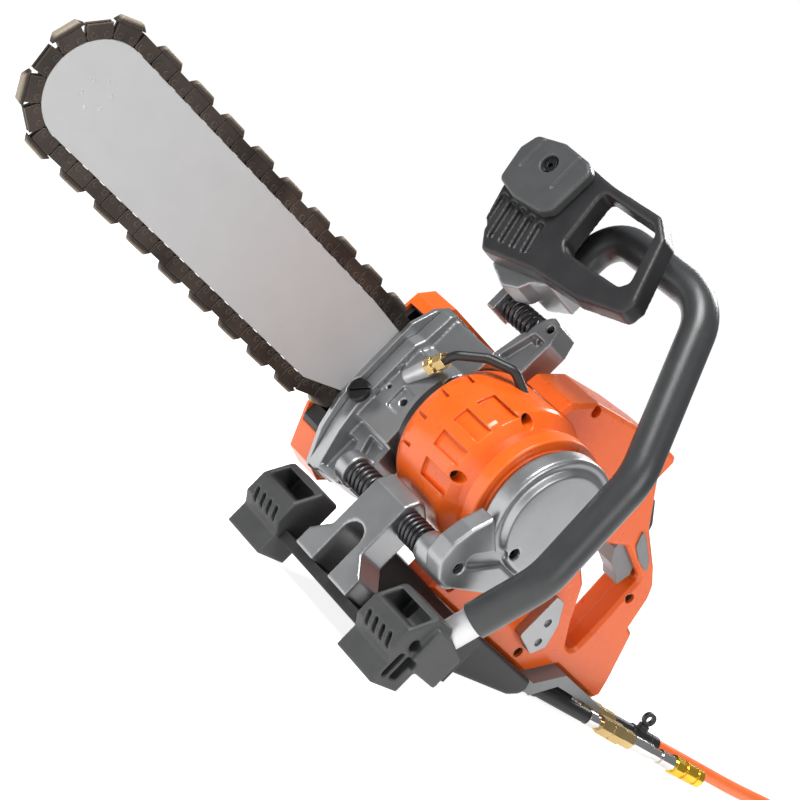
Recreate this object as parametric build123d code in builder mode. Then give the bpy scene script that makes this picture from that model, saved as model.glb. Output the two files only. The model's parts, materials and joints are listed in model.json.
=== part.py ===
from build123d import *
from math import acos, atan2, cos, degrees, hypot, pi, radians, sin, sqrt, tan
import os

# A hand-held chain saw for concrete, in millimetres. X runs forward along the bar, Y to the
# machine's left and Z up. The working origin is where the drive axis meets the bar's middle
# plane, at the height of the bar's centre line. The whole machine is stood on its feet and
# skid at the end, with the floor at Z = 0.

# Stance
rest_tilt = 12.0
floor_drop = 141.4
middle_x = 32.6
middle_y = 103.5

# Chain and bar
chain_pitch = 18.65
link_count = 54
sprocket_teeth = 8
drive_z = 12.0
nose_pitch_r = 41.2
rail_start_x = 95.0
rail_gap = 3.5
bar_thickness = 4.6
groove_width = 1.8
groove_depth = 8.0
link_thickness = 1.5
strap_thickness = 1.6
strap_gap = 0.1
strap_foot = 3.1
strap_top = 7.6
rivet_r = 2.1
segment_width = 5.8
segment_height = 4.8
segment_base = 25.0
segment_tip = 16.5
chain_phase = 6.9
bar_travel = 6.0

# Bar clamping
stud_x = 46.0
stud_z = (18.0, -8.0)
stud_r = 4.0
bar_slot_play = 0.4
pin_x = 43.0
pin_z = 5.0
pin_r = 2.5
tensioner_y = 13.0
tensioner_z = -16.0
tensioner_r = 4.0

# Power unit, along the drive axis
pad_y = 3.2
flange_y = 7.0
flange_thickness = 12.0
flange_front_x = 52.0
block_front_x = 45.0
block_y = 60.0
collar_r = 53.0
rim_y = 70.0
housing_r = 61.0
housing_end_y = 143.0
housing_wall = 5.0
ring_y = 152.0
ring_end_y = 168.0
ring_r = 56.0
disc_end_y = 187.0
disc_r = 52.0
face_r = 41.0
face_rise = 4.0
shaft_r = 9.0
bearing_r = 17.0
bearing_width = 12.0
running_gap = 0.05
rotor_r = 30.0
air_gap = 1.5

# Anti-vibration springs
spring_x = 39.0
spring_z = -60.0
spring_r = 11.5
wire_r = 1.7
left_spring_y = (56.0, 84.0)
right_spring_y = (128.0, 152.0)
top_spring_x = 2.0
top_spring_z = 109.0
top_spring_y = (12.0, 54.0)
av_travel = 3.0
peg_r = spring_r - 2 * wire_r - av_travel - 0.3

# Front bracket, feet and base
bracket_front_x = 54.0
bracket_back_x = 26.0
bracket_y = (86.0, 126.0)
bracket_top_z = -41.0
leg_y = (72.0, 142.0)
leg_top_z = -103.0
base_top_z = -126.0
base_thickness = 8.0
left_foot_y = (6.0, 52.0)
right_foot_y = (166.0, 212.0)
foot_front_x = 60.0
foot_back_x = 24.0

# Front handle
handle_x = 16.0
tube_r = 11.0
grip_r = 13.5

# Rear handle
handle_mid_y = 95.0
handle_width = 17.0

# Hoses and their fittings, on the floor behind the machine
hose_r = 6.0
hose_height = 9.0
hose_heading = 16.0


def side(y):
    """Plane facing the machine's right: sketch x is forward, sketch y is up."""
    return Plane.XZ.offset(-y)


def front(x):
    """Plane facing forward: sketch x is to the left, sketch y is up."""
    return Plane.YZ.offset(x)


def level(z):
    return Plane.XY.offset(z)


def floor_z(x):
    """Height of the floor under the tilted machine, in the machine's own frame."""
    return -floor_drop - x * tan(radians(rest_tilt))


def slab(points, y_low, y_high):
    with BuildPart() as piece:
        with BuildSketch(side(y_high)):
            Polygon(*points, align=None)
        extrude(amount=y_high - y_low)
    return piece.part


def plate(points, x_low, x_high):
    with BuildPart() as piece:
        with BuildSketch(front(x_low)):
            Polygon(*points, align=None)
        extrude(amount=x_high - x_low)
    return piece.part


def rod(x, z, radius, y_low, y_high):
    with BuildPart() as piece:
        with BuildSketch(side(y_high)):
            with Locations((x, z)):
                Circle(radius)
        extrude(amount=y_high - y_low)
    return piece.part


def turned(profile, x, z):
    """Solid of revolution about a Y-wise axis through (x, z); profile points are (radius, y)."""
    with BuildPart() as piece:
        with BuildSketch(Plane((x, 0, z))):
            Polygon(*profile, align=None)
        revolve(axis=Axis((x, 0, z), (0, 1, 0)))
    return piece.part


def bolt(x, z, y_head, y_tip, shank_r, head_r, head_height):
    """Socket screw along Y whose head's outer face is at y_head."""
    out = 1 if y_head > y_tip else -1
    with BuildPart() as piece:
        add(rod(x, z, head_r, min(y_head, y_head - out * head_height), max(y_head, y_head - out * head_height)))
        add(rod(x, z, shank_r, min(y_tip, y_head), max(y_tip, y_head)))
        add(rod(x, z, head_r * 0.5, min(y_head, y_head - out * 3.0), max(y_head, y_head - out * 3.0)),
            mode=Mode.SUBTRACT)
    return piece.part


# Chain path: upper rail forward, round the nose, lower rail back, round the drive sprocket
sprocket_r = chain_pitch * sprocket_teeth / (2 * pi)
upper_reach = hypot(rail_start_x, nose_pitch_r - drive_z)
lower_reach = hypot(rail_start_x, nose_pitch_r + drive_z)
upper_angle = atan2(nose_pitch_r - drive_z, rail_start_x) + acos(sprocket_r / upper_reach)
lower_angle = atan2(-nose_pitch_r - drive_z, rail_start_x) - acos(sprocket_r / lower_reach)
upper_ramp = sqrt(upper_reach**2 - sprocket_r**2)
lower_ramp = sqrt(lower_reach**2 - sprocket_r**2)
wrap_angle = lower_angle - upper_angle + 2 * pi
loop_length = chain_pitch * link_count
rail_length = (loop_length - upper_ramp - lower_ramp - wrap_angle * sprocket_r - pi * nose_pitch_r) / 2
nose_x = rail_start_x + rail_length
bar_half = nose_pitch_r - rail_gap
print("nose x", round(nose_x, 2), "loop", round(loop_length, 1))


def on_path(s):
    """Point of the pitch line at distance s from the upper rail's start."""
    s = s % loop_length
    if s <= rail_length:
        return rail_start_x + s, nose_pitch_r
    s -= rail_length
    if s <= pi * nose_pitch_r:
        turn = s / nose_pitch_r
        return nose_x + nose_pitch_r * sin(turn), nose_pitch_r * cos(turn)
    s -= pi * nose_pitch_r
    if s <= rail_length:
        return nose_x - s, -nose_pitch_r
    s -= rail_length
    if s <= lower_ramp:
        end_x = sprocket_r * cos(lower_angle)
        end_z = drive_z + sprocket_r * sin(lower_angle)
        share = s / lower_ramp
        return rail_start_x + (end_x - rail_start_x) * share, -nose_pitch_r + (end_z + nose_pitch_r) * share
    s -= lower_ramp
    if s <= wrap_angle * sprocket_r:
        angle = lower_angle - s / sprocket_r
        return sprocket_r * cos(angle), drive_z + sprocket_r * sin(angle)
    s -= wrap_angle * sprocket_r
    start_x = sprocket_r * cos(upper_angle)
    start_z = drive_z + sprocket_r * sin(upper_angle)
    share = s / upper_ramp
    return start_x + (rail_start_x - start_x) * share, start_z + (nose_pitch_r - start_z) * share


def link_place(s_middle):
    """Where a link between two rivets stands, its own X along the chain and Z outward."""
    ax, az = on_path(s_middle - chain_pitch / 4)
    bx, bz = on_path(s_middle + chain_pitch / 4)
    return Location(((ax + bx) / 2, 0, (az + bz) / 2), (0, -degrees(atan2(bz - az, bx - ax)), 0))


link_places = [link_place(chain_phase + (i + 0.25) * chain_pitch) for i in range(link_count)]
strap_places = [link_place(chain_phase + (i + 0.75) * chain_pitch) for i in range(link_count)]
rivet_places = [Location((on_path(chain_phase + i * chain_pitch / 2)[0], 0,
                          on_path(chain_phase + i * chain_pitch / 2)[1])) for i in range(2 * link_count)]
rivet_x = chain_pitch / 4

drive_link = slab(((-8.2, 3.2), (8.2, 3.2), (8.0, -1.0), (3.2, -7.3), (-2.0, -7.3), (-8.0, -1.0)),
                  -link_thickness / 2, link_thickness / 2)
with BuildPart() as drive_link_bored:
    add(drive_link)
    add(rod(rivet_x, 0, rivet_r, -link_thickness, link_thickness), mode=Mode.SUBTRACT)
    add(rod(-rivet_x, 0, rivet_r, -link_thickness, link_thickness), mode=Mode.SUBTRACT)

with BuildPart() as drive_links:
    with Locations(*link_places):
        add(drive_link_bored.part)
drive_links.part.label = "drive_links"

strap_in = link_thickness / 2 + strap_gap
strap_out = strap_in + strap_thickness
strap_points = ((-8.9, strap_top), (8.9, strap_top), (8.9, -1.2), (7.6, -strap_foot),
                (-7.6, -strap_foot), (-8.9, -1.2))
with BuildPart() as strap_pair:
    add(slab(strap_points, strap_in, strap_out))
    add(slab(strap_points, -strap_out, -strap_in))
    add(rod(rivet_x, 0, rivet_r, -strap_out, strap_out), mode=Mode.SUBTRACT)
    add(rod(-rivet_x, 0, rivet_r, -strap_out, strap_out), mode=Mode.SUBTRACT)

with BuildPart() as tie_straps:
    with Locations(*strap_places):
        add(strap_pair.part)
tie_straps.part.label = "tie_straps"

with BuildPart() as chain_rivets:
    with Locations(*rivet_places):
        add(rod(0, 0, rivet_r, -strap_out - 0.3, strap_out + 0.3))
chain_rivets.part.label = "chain_rivets"

segment = slab(((-segment_base / 2, strap_top), (segment_base / 2, strap_top),
                (segment_tip / 2, strap_top + segment_height), (-segment_tip / 2, strap_top + segment_height)),
               -segment_width / 2, segment_width / 2)
with BuildPart() as segment_rounded:
    add(segment)
    fillet(segment_rounded.edges().filter_by(Axis.Y).group_by(Axis.Z)[-1], 1.6)

with BuildPart() as diamond_segments:
    with Locations(*strap_places[::2]):
        add(segment_rounded.part)
diamond_segments.part.label = "diamond_segments"

# Guide bar, with a groove for the drive links, two clamping slots and the nose's pocket
tail_x = 37.0
tail_top = on_path(-upper_ramp * (rail_start_x - tail_x) / rail_start_x)[1] - rail_gap
tail_bottom = on_path(2 * rail_length + pi * nose_pitch_r
                      + lower_ramp * (rail_start_x - tail_x) / rail_start_x)[1] + rail_gap
nose_ring_r = 14.7
nose_sprocket_r = nose_pitch_r - 7.3 - 0.6
nose_rivet_circle_r = 11.0
nose_rivet_r = 1.6
with BuildPart() as guide_bar:
    with BuildSketch(side(bar_thickness / 2)):
        Polygon((tail_x, tail_top), (rail_start_x, bar_half), (nose_x, bar_half), (nose_x, -bar_half),
                (rail_start_x, -bar_half), (tail_x, tail_bottom), align=None)
        with Locations((nose_x, 0)):
            Circle(bar_half)
        with Locations((stud_x + bar_travel / 2, stud_z[0]), (stud_x + bar_travel / 2, stud_z[1])):
            SlotOverall(2 * (stud_r + bar_slot_play) + bar_travel, 2 * (stud_r + bar_slot_play),
                        mode=Mode.SUBTRACT)
        with Locations((pin_x, pin_z)):
            Circle(pin_r, mode=Mode.SUBTRACT)
    extrude(amount=bar_thickness)
    with BuildSketch(side(groove_width / 2)):
        Polygon((tail_x - 1, tail_top + 1), (rail_start_x, bar_half + 1), (nose_x, bar_half + 1),
                (nose_x, -bar_half - 1), (rail_start_x, -bar_half - 1), (tail_x - 1, tail_bottom - 1), align=None)
        with Locations((nose_x, 0)):
            Circle(bar_half + 1)
        Polygon((tail_x - 2, tail_top - groove_depth), (rail_start_x, bar_half - groove_depth),
                (nose_x, bar_half - groove_depth), (nose_x, groove_depth - bar_half),
                (rail_start_x, groove_depth - bar_half), (tail_x - 2, tail_bottom + groove_depth),
                align=None, mode=Mode.SUBTRACT)
        with Locations((nose_x, 0)):
            Circle(bar_half + 0.9)
    extrude(amount=groove_width, mode=Mode.SUBTRACT)
    with BuildSketch(side(bar_thickness / 2)):
        with Locations((nose_x, 0)):
            with PolarLocations(nose_rivet_circle_r, 6, start_angle=30):
                Circle(nose_rivet_r)
    extrude(amount=bar_thickness, mode=Mode.SUBTRACT)
guide_bar.part.label = "guide_bar"

with BuildPart() as nose_bearing:
    add(rod(nose_x, 0, nose_ring_r, -link_thickness / 2, link_thickness / 2))
    with BuildSketch(side(bar_thickness / 2)):
        with Locations((nose_x, 0)):
            with PolarLocations(nose_rivet_circle_r, 6, start_angle=30):
                Circle(nose_rivet_r)
    extrude(amount=bar_thickness, mode=Mode.ADD)
nose_bearing.part.label = "nose_bearing"

nose_teeth = 14
with BuildPart() as nose_sprocket:
    with BuildSketch(side(link_thickness / 2)):
        with Locations((nose_x, 0)):
            Circle(nose_sprocket_r)
            Circle(nose_ring_r + running_gap, mode=Mode.SUBTRACT)
            with PolarLocations(nose_sprocket_r, nose_teeth):
                Circle(3.2, mode=Mode.SUBTRACT)
            with PolarLocations((nose_sprocket_r + nose_ring_r) / 2 - 1, 6):
                Circle(4.0, mode=Mode.SUBTRACT)
    extrude(amount=link_thickness)
nose_sprocket.part.label = "nose_sprocket"


# Parts of the bar clamp
carrier_x = (39.0, 47.0)
carrier_y = (8.4, 17.4)
with BuildPart() as tensioner_carrier:
    add(slab(((carrier_x[0], -22), (carrier_x[1], -22), (carrier_x[1], 9), (carrier_x[0], 9)), *carrier_y))
    add(slab(((carrier_x[0] + 2.5, stud_z[1] - 4.6), (carrier_x[1], stud_z[1] - 4.6), (carrier_x[1], stud_z[1] + 4.6),
              (carrier_x[0] + 2.5, stud_z[1] + 4.6)), *carrier_y), mode=Mode.SUBTRACT)
    add(rod(pin_x, pin_z, pin_r, -bar_thickness / 2, carrier_y[1]))
    with BuildSketch(front(carrier_x[0])):
        with Locations((tensioner_y, tensioner_z)):
            Circle(tensioner_r + running_gap)
    extrude(amount=carrier_x[1] - carrier_x[0], mode=Mode.SUBTRACT)
tensioner_carrier.part.label = "tensioner_carrier"

head_r = 9.0
with BuildPart() as tensioner_screw:
    with BuildSketch(front(30)):
        with Locations((tensioner_y, tensioner_z)):
            Circle(tensioner_r)
    extrude(amount=flange_front_x + 0.2 - 30)
    with BuildSketch(front(flange_front_x + 0.2)):
        with Locations((tensioner_y, tensioner_z)):
            Circle(head_r)
    extrude(amount=4.2)
    chamfer(tensioner_screw.faces().sort_by(Axis.X)[-1].edges(), 0.8)
    with BuildSketch(front(flange_front_x + 2.2)):
        with Locations((tensioner_y, tensioner_z)):
            Rectangle(2.4, 2 * head_r + 2, rotation=-52)
    extrude(amount=3, mode=Mode.SUBTRACT)
tensioner_screw.part.label = "tensioner_screw"

nut_y = -26.0
stud_end_y = -35.0
with BuildPart() as bar_studs:
    for z in stud_z:
        add(rod(stud_x, z, stud_r, stud_end_y, flange_y + flange_thickness))
    with BuildSketch(side(nut_y)):
        with Locations(*[(stud_x, z) for z in stud_z]):
            Circle(9.5)
    extrude(amount=1.6)
    with BuildSketch(side(nut_y - 1.6)):
        with Locations(*[(stud_x, z) for z in stud_z]):
            RegularPolygon(7.5, 6)
    extrude(amount=6)
bar_studs.part.label = "bar_studs"

# Sprocket side: pad against the casting, cover and its rubber lining
pad_points = ((-58, 56), (-30, 75), (38, 75), (49, 66), (58, 46), (58, -30), (50, -55), (32, -83),
              (12, -83), (-20, -60), (-50, -32), (-62, 12))
cover_points = ((-58, 58), (-30, 78), (32, 78), (44, 67), (47, 40), (47, -50), (28, -82),
                (10, -87), (-22, -64), (-54, -36), (-66, 12))
cover_inner = ((-55, 56), (-29, 75), (31, 75), (41, 66), (42.5, 58), (50, 58), (50, -49), (26, -79),
               (11, -84), (-21, -61), (-51, -34), (-63, 12))
cover_y = -26.0
cover_wall = 3.0
sprocket_width = 8.0
with BuildPart() as bar_pad:
    add(slab(pad_points, pad_y, flange_y))
    add(slab(((40, 27), (92, 27), (92, -27), (40, -17)), bar_thickness / 2 + 0.1, pad_y)
        & slab(pad_points, 0, pad_y))
    for z in stud_z:
        add(rod(stud_x, z, stud_r, 0, flange_y), mode=Mode.SUBTRACT)
    add(rod(0, drive_z, 27, 0, flange_y), mode=Mode.SUBTRACT)
    with BuildSketch(side(flange_y)):
        with Locations((pin_x - bar_travel / 2, pin_z)):
            SlotOverall(bar_travel + 2 * pin_r + 1.6, 2 * pin_r + 1.6)
    extrude(amount=flange_y, mode=Mode.SUBTRACT)
    with BuildSketch(front(flange_front_x)):
        with Locations((tensioner_y, tensioner_z)):
            Circle(head_r + 0.6)
    extrude(amount=8, mode=Mode.SUBTRACT)
bar_pad.part.label = "bar_pad"

with BuildPart() as sprocket_cover:
    add(slab(cover_points, cover_y, pad_y))
    add(slab(cover_inner, cover_y + cover_wall, pad_y), mode=Mode.SUBTRACT)
    for z in stud_z:
        add(rod(stud_x, z, stud_r, cover_y, 0), mode=Mode.SUBTRACT)
    for i in range(5):
        add(slab(((-44, 40 - 14 * i), (-6, 40 - 14 * i), (-6, 34 - 14 * i), (-44, 34 - 14 * i)),
                 cover_y, cover_y + 1.2), mode=Mode.SUBTRACT)
sprocket_cover.part.label = "sprocket_cover"

with BuildPart() as cover_liner:
    add(slab(((20, 74.5), (31, 74.5), (40.5, 65.5), (43.5, 40), (43.5, -57), (26, -78.5), (11, -83.5), (6, -78)),
             cover_y + cover_wall, pad_y))
    add(slab(((-10, 57), (70, 57), (70, -45), (-10, -45)), -18, pad_y + 1), mode=Mode.SUBTRACT)
    for z in stud_z:
        add(rod(stud_x, z, stud_r, cover_y, 0), mode=Mode.SUBTRACT)
cover_liner.part.label = "cover_liner"

# Water nozzle on the casting, with its union nuts and the short hose to the motor housing
nozzle_dir = Vector(0.25, 0.65, 0.72).normalized()
nozzle_start = Vector(block_front_x + 2.5, 30, 14)


def along(start, direction, distance):
    return start + direction * distance


def barrel(start, direction, low, high, radius, sides=0, end_radius=None):
    """Round or many-sided length of bar on a line, measured from the line's start."""
    with BuildPart() as piece:
        with BuildSketch(Plane(tuple(along(start, direction, low)), z_dir=tuple(direction))):
            if sides:
                RegularPolygon(radius, sides)
            else:
                Circle(radius)
        if end_radius:
            with BuildSketch(Plane(tuple(along(start, direction, high)), z_dir=tuple(direction))):
                Circle(end_radius)
            loft()
        else:
            extrude(amount=high - low)
    return piece.part


with BuildPart() as water_nozzle:
    add(barrel(nozzle_start, nozzle_dir, 2, 24, 5.2, end_radius=6.6))
water_nozzle.part.label = "water_nozzle"

with BuildPart() as nozzle_nuts:
    add(barrel(nozzle_start, nozzle_dir, 24, 30, 7.2, sides=6))
    add(barrel(nozzle_start, nozzle_dir, 30, 33, 5.0))
    add(barrel(nozzle_start, nozzle_dir, 33, 41, 6.6, sides=6))
nozzle_nuts.part.label = "nozzle_nuts"

nozzle_end = along(nozzle_start, nozzle_dir, 41)
jumper_points = (tuple(nozzle_end), tuple(along(nozzle_start, nozzle_dir, 51)), (50.0, 78.0, 65.0),
                 (38.0, 95.0, 72.0), (26.0, 106.0, 65.0))
jumper_r = 3.6
with BuildPart() as water_jumper:
    with BuildLine() as jumper_path:
        FilletPolyline(*jumper_points, radius=(9.0, 10.0, 9.0))
    with BuildSketch(Plane(jumper_points[0], z_dir=tuple(nozzle_dir))):
        Circle(jumper_r)
    sweep(path=jumper_path.wire())
water_jumper.part.label = "water_jumper"


# Casting that carries the bar, the drive shaft's front bearing and two spring seats
flange_points = ((-58, 54), (-30, 74), (42, 74), (46, 70), (48, 44), (52, 36), (52, -26), (47, -48),
                 (35, -81), (14, -81), (-18, -58), (-50, -30), (-60, 12))
body_r = 50.0
bearing_y = 24.0
with BuildPart() as gear_casting:
    add(slab(flange_points, flange_y, flange_y + flange_thickness))
    add(rod(0, drive_z, body_r, flange_y, block_y))
    add(slab(((-6, 37), (block_front_x, 37), (block_front_x, -30), (-6, -30)), flange_y + 4, block_y))
    add(slab(((-34, 36), (38, 36), (38, 72), (-20, 72)), flange_y + 4, block_y + 8))
    add(plate(((15, -28), (58, -28), (59, -44), (54, -73), (44, -76), (15, -80)), 12, 36))
    with BuildSketch(front(12)):
        Polygon((19, -44), (30, -44), (40, -70), (19, -74), align=None)
        Polygon((35, -34), (53, -34), (53, -48), (44, -60), align=None)
    extrude(amount=40, mode=Mode.SUBTRACT)
    add(plate(((19, -40), (40, -40), (46, -72), (19, -76)), 12, 30))
    add(plate(((33, -34), (53, -34), (53, -48), (44, -60)), 12, 30))
    add(rod(spring_x, spring_z, 13.5, 44, left_spring_y[0]))
    add(rod(spring_x, spring_z, peg_r, left_spring_y[0], left_spring_y[0] + 5))
    add(rod(0, drive_z, bearing_r, bearing_y, block_y), mode=Mode.SUBTRACT)
    add(rod(0, drive_z, bearing_r + 8, bearing_y + bearing_width, block_y), mode=Mode.SUBTRACT)
    add(rod(0, drive_z, shaft_r + 3, flange_y, block_y), mode=Mode.SUBTRACT)
    for z in stud_z:
        add(rod(stud_x, z, stud_r, flange_y, flange_y + flange_thickness), mode=Mode.SUBTRACT)
    with BuildSketch(front(10)):
        with Locations((tensioner_y, tensioner_z)):
            Circle(tensioner_r + running_gap)
    extrude(amount=60, mode=Mode.SUBTRACT)
    add(slab(((carrier_x[0] - bar_travel - 1, -23), (carrier_x[1] + 1, -23), (carrier_x[1] + 1, 10),
              (carrier_x[0] - bar_travel - 1, 10)), flange_y, carrier_y[1] + 0.4), mode=Mode.SUBTRACT)
    add(slab(((block_front_x, 38), (block_front_x + 9, 38), (block_front_x + 9, -27), (block_front_x, -27)),
             flange_y + flange_thickness, block_y + 1), mode=Mode.SUBTRACT)
    with BuildSketch(front(block_front_x)):
        with Locations((40, 0)):
            RectangleRounded(15, 19, 1.5)
    extrude(amount=-3, mode=Mode.SUBTRACT)
    with BuildSketch(front(block_front_x)):
        with Locations((41, 0)):
            Circle(3.2)
        with Locations((22, 1.4)):
            Circle(1.9)
    extrude(amount=-16, mode=Mode.SUBTRACT)
    add(water_nozzle.part, mode=Mode.SUBTRACT)
gear_casting.part.label = "gear_casting"

# Motor: dark collar, ribbed orange housing, cooling ring, end cover and what turns inside
housing_points = ((rotor_r + air_gap + 18.5, rim_y), (57.5, rim_y), (housing_r - 1, rim_y + 5), (housing_r, rim_y + 9),
                  (housing_r + 1, 131), (housing_r, 134), (52, housing_end_y), (49, housing_end_y + 5),
                  (49, ring_y - 1), (24, ring_y - 1), (24, housing_end_y), (rotor_r + air_gap + 18.5, housing_end_y - 2))
stator_r = rotor_r + air_gap + 18.5
with BuildPart() as motor_collar:
    add(turned(((38, block_y), (collar_r, block_y), (collar_r + 1, rim_y), (38, rim_y)), 0, drive_z))
    add(slab(((-34, 30), (80, 30), (80, 80), (-34, 80)), block_y, block_y + 8), mode=Mode.SUBTRACT)
motor_collar.part.label = "motor_collar"

rim_slot_z = (45.0, 25.0, 3.0, -19.0)
pocket_z = ((36.0, 49.0), (15.5, 28.5), (-6.5, 6.5), (-28.0, -16.0))
boss_holes = ((47.0, 57.0), (53.0, -12.0), (-47.0, 57.0), (-47.0, -33.0), (10.0, -42.0))
with BuildPart() as motor_housing:
    add(turned(housing_points, 0, drive_z))
    for z in rim_slot_z:
        add(slab(((46, z - 1.3), (66, z - 1.3), (66, z + 1.3), (46, z + 1.3)), rim_y - 1, rim_y + 16)
            & turned(((housing_r - 2.5, rim_y - 2), (housing_r + 19, rim_y - 2), (housing_r + 19, 110),
                      (housing_r - 2.5, 110)), 0, drive_z),
            mode=Mode.SUBTRACT)
    for low, high in pocket_z:
        add(slab(((20, low), (70, low), (70, high), (20, high)), 106, 140)
            & turned(((housing_r - 2.2, 100), (housing_r + 19, 100), (housing_r + 19, 142), (housing_r - 2.2, 142)),
                     0, drive_z),
            mode=Mode.SUBTRACT)
    for x, z in boss_holes:
        reach = 56.0 / hypot(x, z - drive_z)
        add(rod(x * reach, drive_z + (z - drive_z) * reach, 4.6, 126, 146), mode=Mode.SUBTRACT)
    add(water_jumper.part, mode=Mode.SUBTRACT)
motor_housing.part.label = "motor_housing"

with BuildPart() as cooling_ring:
    add(turned(((24, ring_y - 1), (ring_r - 3, ring_y - 1), (ring_r, ring_y + 2), (ring_r, ring_end_y - 3),
                (ring_r - 3, ring_end_y), (24, ring_end_y)), 0, drive_z))
    add(turned(((48, ring_end_y - 2), (80, ring_end_y - 2), (80, ring_end_y + 1), (48, ring_end_y + 1)), 0, drive_z),
        mode=Mode.SUBTRACT)
cooling_ring.part.label = "cooling_ring"

arm_points = ((20, -34), (54, -14), (62, -30), (66, -46), (64, -62), (52, -72), (40, -72), (-14, -48), (-14, -34))
cover_holes = ((44.7, -56.0), (11.0, -22.0))
with BuildPart() as end_cover:
    add(turned(((0, ring_end_y), (46, ring_end_y), (46, ring_end_y + 4), (disc_r - 1, ring_end_y + 4),
                (disc_r, ring_end_y + 6), (disc_r, disc_end_y - 2), (disc_r - 2, disc_end_y), (face_r + 4, disc_end_y),
                (face_r, disc_end_y + face_rise), (0, disc_end_y + face_rise)), 0, drive_z))
    with BuildSketch(side(disc_end_y + 5)):
        Polygon(*arm_points, align=None)
        fillet(vertices().sort_by(Axis.Y)[:4], 6)
    extrude(amount=16)
    chamfer(end_cover.faces().sort_by(Axis.Y)[-1].edges(), 1.2)
    add(rod(spring_x, spring_z, 14, right_spring_y[1] + 6, disc_end_y))
    with BuildSketch(side(right_spring_y[1])):
        with Locations((spring_x, spring_z)):
            Circle(12.5)
    with BuildSketch(side(right_spring_y[1] + 6)):
        with Locations((spring_x, spring_z)):
            Circle(14)
    loft()
    add(rod(spring_x, spring_z, peg_r, right_spring_y[1] - 5, right_spring_y[1]))
    with BuildSketch(side(disc_end_y + 5)):
        with Locations((28, -38)):
            SlotOverall(36, 12, rotation=-38)
    extrude(amount=5, mode=Mode.SUBTRACT)
    for x, z in cover_holes:
        add(rod(x, z, 4.4, disc_end_y - 7, disc_end_y + 8), mode=Mode.SUBTRACT)
end_cover.part.label = "end_cover"

with BuildPart() as stator:
    add(turned(((rotor_r + air_gap, rim_y + 6), (stator_r, rim_y + 6), (stator_r, housing_end_y - 4),
                (rotor_r + air_gap, housing_end_y - 4)), 0, drive_z))
stator.part.label = "stator"

rear_bearing_y = ring_y + 2
with BuildPart() as shaft_bearings:
    add(turned(((shaft_r + running_gap, bearing_y), (bearing_r, bearing_y), (bearing_r, bearing_y + bearing_width),
                (shaft_r + running_gap, bearing_y + bearing_width)), 0, drive_z))
    add(turned(((shaft_r + running_gap, rear_bearing_y), (24, rear_bearing_y),
                (24, rear_bearing_y + bearing_width), (shaft_r + running_gap, rear_bearing_y + bearing_width)),
               0, drive_z))
shaft_bearings.part.label = "shaft_bearings"

shaft_end_y = ring_end_y - 1
with BuildPart() as motor_shaft:
    add(rod(0, drive_z, shaft_r, -9, shaft_end_y))
motor_shaft.part.label = "motor_shaft"

with BuildPart() as rotor:
    add(turned(((shaft_r, rim_y + 8), (rotor_r, rim_y + 8), (rotor_r, housing_end_y - 6),
                (shaft_r, housing_end_y - 6)), 0, drive_z))
rotor.part.label = "rotor"

with BuildPart() as drive_sprocket:
    with BuildSketch(side(sprocket_width / 2)):
        with Locations((0, drive_z)):
            Circle(sprocket_r - 7.3 - 1.0)
            Circle(shaft_r, mode=Mode.SUBTRACT)
            with PolarLocations(sprocket_r - 7.3 - 0.6, sprocket_teeth):
                Circle(2.2, mode=Mode.SUBTRACT)
    extrude(amount=sprocket_width)
    add(turned(((shaft_r, -6.5), (shaft_r + 3.5, -6.5), (shaft_r + 3.5, -4.5), (shaft_r, -4.5)), 0, drive_z))
drive_sprocket.part.label = "drive_sprocket"

# Orange cover on top of the motor housing, with the light-alloy lever of the top spring
top_cover_points = ((10, 66), (7, 84), (-15, 99), (-60, 108.5), (-103, 115), (-126, 116), (-126, 44), (-66, 30), (-50, 12))
with BuildPart() as top_cover:
    with BuildSketch(side(130)):
        Polygon(*top_cover_points, align=None)
    extrude(amount=46)
    fillet(top_cover.edges().filter_by(Axis.Y).filter_by_position(Axis.Z, 80, 120), 5)
    chamfer(top_cover.faces().sort_by(Axis.Y)[-1].edges().sort_by(Axis.Z)[-3:], 3)
    add(turned(((0, 60), (housing_r + 1, 60), (housing_r + 1, 134), (0, 134)), 0, drive_z), mode=Mode.SUBTRACT)
    add(slab(((-70, 40), (-114, 52), (-114, 104), (-60, 97), (-52, 84)), 90, 124), mode=Mode.SUBTRACT)
    add(rod(-17, 93, 4.6, 118, 131), mode=Mode.SUBTRACT)
top_cover.part.label = "top_cover"

with BuildPart() as spring_lever:
    with BuildSketch(front(-10)):
        Polygon((44, 72), (50, 96), (58, 117), (64, 123), (74, 121), (79, 106), (78, 72), align=None)
        fillet(vertices().sort_by(Axis.Y)[-3:], 3)
    extrude(amount=24)
    with BuildSketch(front(14)):
        Polygon((50, 75), (60, 104), (74, 104), (74, 75), align=None)
    extrude(amount=-7, mode=Mode.SUBTRACT)
    with BuildSketch(front(14)):
        with Locations((69, 114)):
            Circle(3.2)
    extrude(amount=-10, mode=Mode.SUBTRACT)
    add(rod(top_spring_x, top_spring_z, spring_r + av_travel, top_spring_y[0], top_spring_y[1]), mode=Mode.SUBTRACT)
    add(turned(((0, rim_y - 1), (housing_r + 0.4, rim_y - 1), (housing_r + 0.4, rim_y + 20), (0, rim_y + 20)),
               0, drive_z), mode=Mode.SUBTRACT)
    add(rod(top_spring_x, top_spring_z, 11.5, top_spring_y[1], 65))
    add(rod(top_spring_x, top_spring_z, peg_r - 1, top_spring_y[1] - 5, top_spring_y[1]))
spring_lever.part.label = "spring_lever"

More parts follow.
